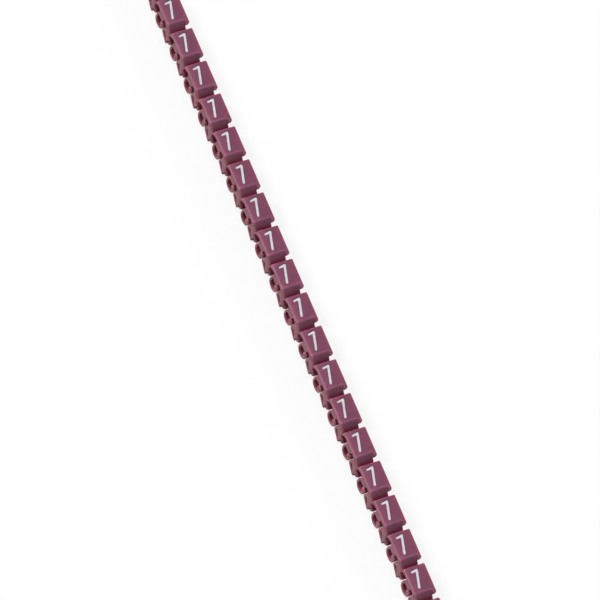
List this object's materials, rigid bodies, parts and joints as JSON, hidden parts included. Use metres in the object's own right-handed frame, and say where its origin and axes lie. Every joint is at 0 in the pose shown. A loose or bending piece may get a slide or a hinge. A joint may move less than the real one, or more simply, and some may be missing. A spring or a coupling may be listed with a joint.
{
  "type": "cable marker strip",
  "caption": "Straight strip of small clip-on cable markers: each has a label plate with a sloping front on springy legs that clip over a wire, and thin webs join them.",
  "frame": {"origin": "middle of the strip's length and width, at the lowest point of the legs", "axes": "+X along the strip in reading order, +Y along the wires, +Z out of the label faces"},
  "size_m": [0.0736, 0.0024, 0.0024],
  "materials": {
    "plum_plastic": "satin moulded",
    "digit_print": "matt stamped ink"
  },
  "bodies": {
    "root": {"marker_strip": "plum_plastic"}
  },
  "joints": []
}
